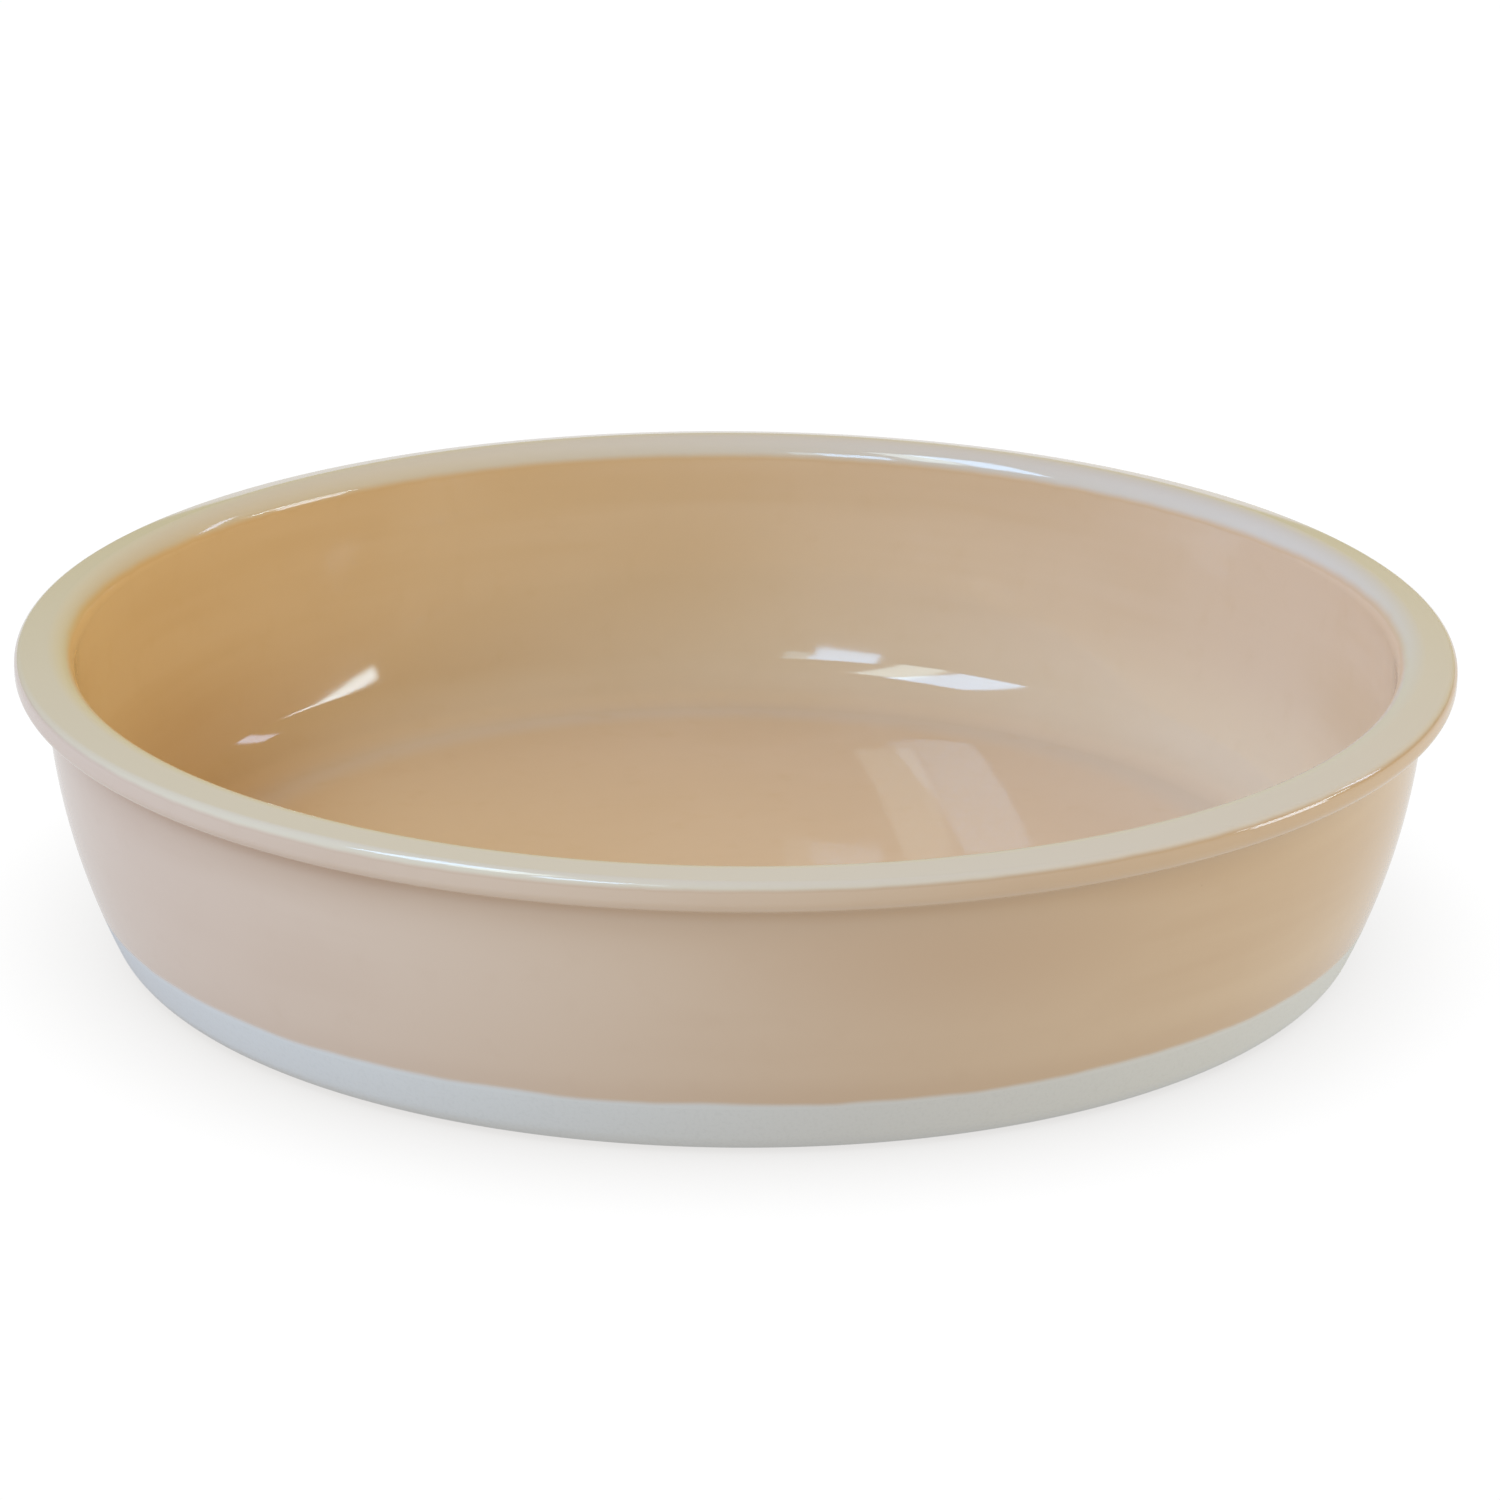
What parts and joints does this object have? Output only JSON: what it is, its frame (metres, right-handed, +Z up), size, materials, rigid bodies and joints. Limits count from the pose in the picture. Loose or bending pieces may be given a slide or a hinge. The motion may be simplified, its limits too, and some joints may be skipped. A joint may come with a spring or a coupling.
{
  "type": "shallow ceramic dish",
  "caption": "Round, shallow, flat-bottomed glazed stoneware dish with a rolled rim, a bare foot band and no pouring lip.",
  "frame": {"origin": "on the dish's axis, at the level of the surface it stands on", "axes": "+Z up along the dish's axis, out of its mouth; it is round, so X and Y are any two level directions"},
  "size_m": [0.28, 0.28, 0.06],
  "materials": {
    "bare_clay": "pale blue-grey fired clay, unglazed, fine-grained and matt",
    "liner_glaze": "smooth glossy golden-beige glaze with soft uneven pooling",
    "rim_glaze": "smooth glossy cream glaze, thin and pale where it breaks over the rim",
    "outer_glaze": "glossy blush-beige glaze with faint turning bands and a few pinholes"
  },
  "bodies": {
    "root": {"dish_body": "bare_clay", "inner_glaze": "liner_glaze", "rim_glaze": "rim_glaze", "outer_glaze": "outer_glaze"}
  },
  "joints": []
}
